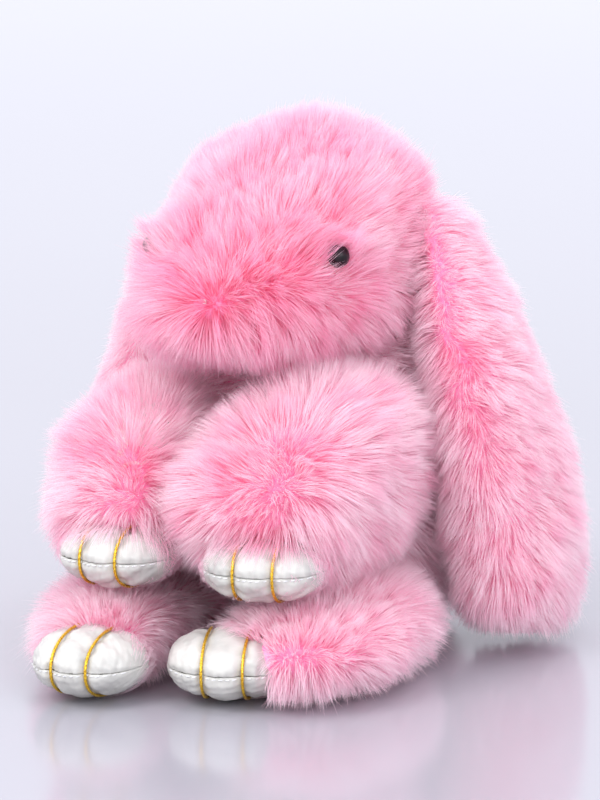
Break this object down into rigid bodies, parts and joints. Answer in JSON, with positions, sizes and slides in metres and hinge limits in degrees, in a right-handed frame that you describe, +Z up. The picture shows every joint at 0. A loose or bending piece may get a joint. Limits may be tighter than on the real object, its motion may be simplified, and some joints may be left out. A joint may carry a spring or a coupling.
{
  "type": "plush keychain",
  "caption": "Fluffy sitting rabbit charm in long pile, head resting on its arms, leather paws with gold cords, and a hanging loop with a lobster clasp and split ring.",
  "frame": {"origin": "on the surface the rabbit sits on, at the flat seat under the body", "axes": "the rabbit faces -Y, its own left side is +X, +Z is up"},
  "size_m": [0.1294, 0.1518, 0.1235],
  "materials": {
    "fur": "long soft pile, pale pink tips over a deeper pink ground",
    "wadding": "white fibre filling",
    "leather": "smooth white, soft gloss",
    "gold_cord": "gold metallic twisted cord",
    "eye": "polished dark bead",
    "plastic": "moulded",
    "tape": "woven tape",
    "gold_metal": "polished pale gold plating",
    "spring_steel": "bright wire"
  },
  "bodies": {
    "body": {"body_cover": "fur", "body_stuffing": "wadding", "tail": "fur"},
    "head": {"head_cover": "fur", "head_stuffing": "wadding", "left_eye": "eye", "right_eye": "eye", "left_eye_washer": "plastic", "right_eye_washer": "plastic", "loop_anchor": "plastic", "hanging_loop": "tape"},
    "left_ear": {"left_ear": "fur"},
    "right_ear": {"right_ear": "fur"},
    "left_arm": {"left_arm_cover": "fur", "left_arm_stuffing": "wadding", "left_hand_upper_leather": "leather", "left_hand_lower_leather": "leather", "left_hand_filling": "wadding", "left_hand_cord_inner": "gold_cord", "left_hand_cord_outer": "gold_cord"},
    "left_leg": {"left_leg_cover": "fur", "left_leg_stuffing": "wadding", "left_foot_upper_leather": "leather", "left_foot_lower_leather": "leather", "left_foot_filling": "wadding", "left_foot_cord_inner": "gold_cord", "left_foot_cord_outer": "gold_cord"},
    "right_arm": {"right_arm_cover": "fur", "right_arm_stuffing": "wadding", "right_hand_upper_leather": "leather", "right_hand_lower_leather": "leather", "right_hand_filling": "wadding", "right_hand_cord_inner": "gold_cord", "right_hand_cord_outer": "gold_cord"},
    "right_leg": {"right_leg_cover": "fur", "right_leg_stuffing": "wadding", "right_foot_upper_leather": "leather", "right_foot_lower_leather": "leather", "right_foot_filling": "wadding", "right_foot_cord_inner": "gold_cord", "right_foot_cord_outer": "gold_cord"},
    "jump_ring": {"jump_ring": "gold_metal"},
    "swivel_eye": {"swivel_eye": "gold_metal"},
    "clasp": {"clasp_body": "gold_metal", "gate_pin": "gold_metal", "gate_spring": "spring_steel"},
    "clasp_gate": {"clasp_gate": "gold_metal"},
    "split_ring": {"split_ring": "gold_metal"}
  },
  "joints": [
    {"name": "head_nod", "type": "hinge", "parent": "body", "child": "head", "pos_m": [0, 0.038, 0.079], "axis": [-1, 0, 0], "range_deg": [0, 14]},
    {"name": "left_ear_lift", "type": "hinge", "parent": "head", "child": "left_ear", "pos_m": [0.0296, 0.025, 0.1055], "axis": [0, -1, 0], "range_deg": [0, 100]},
    {"name": "left_arm_spread", "type": "hinge", "parent": "body", "child": "left_arm", "pos_m": [0.0265, -0.004, 0.05], "axis": [0, 0, 1], "range_deg": [0, 25]},
    {"name": "left_leg_spread", "type": "hinge", "parent": "body", "child": "left_leg", "pos_m": [0.019, -0.006, 0.012], "axis": [0, 0, 1], "range_deg": [0, 25]},
    {"name": "right_ear_lift", "type": "hinge", "parent": "head", "child": "right_ear", "pos_m": [-0.0296, 0.025, 0.1055], "axis": [0, 1, 0], "range_deg": [0, 100]},
    {"name": "right_arm_spread", "type": "hinge", "parent": "body", "child": "right_arm", "pos_m": [-0.0265, -0.004, 0.05], "axis": [0, 0, -1], "range_deg": [0, 25]},
    {"name": "right_leg_spread", "type": "hinge", "parent": "body", "child": "right_leg", "pos_m": [-0.019, -0.006, 0.012], "axis": [0, 0, -1], "range_deg": [0, 25]},
    {"name": "jump_ring_swing", "type": "hinge", "parent": "head", "child": "jump_ring", "pos_m": [0, 0.0608, 0.09605], "axis": [1, 0, 0], "range_deg": [0, 70]},
    {"name": "swivel_eye_swing", "type": "hinge", "parent": "jump_ring", "child": "swivel_eye", "pos_m": [0, 0.0608, 0.08685], "axis": [1, 0, 0], "range_deg": [0, 70]},
    {"name": "clasp_swivel", "type": "hinge", "parent": "swivel_eye", "child": "clasp", "pos_m": [0, 0.0608, 0.08235], "axis": [0, 0, 1], "continuous": true},
    {"name": "gate_press", "type": "hinge", "parent": "clasp", "child": "clasp_gate", "pos_m": [0, 0.0632, 0.07225], "axis": [-1, 0, 0], "range_deg": [0, 24], "stiffness_Nm_per_rad": 0.004, "springref_deg": -11.46},
    {"name": "split_ring_swing", "type": "hinge", "parent": "clasp", "child": "split_ring", "pos_m": [0, 0.0612, 0.05805], "axis": [1, 0, 0], "range_deg": [0, 70]}
  ]
}
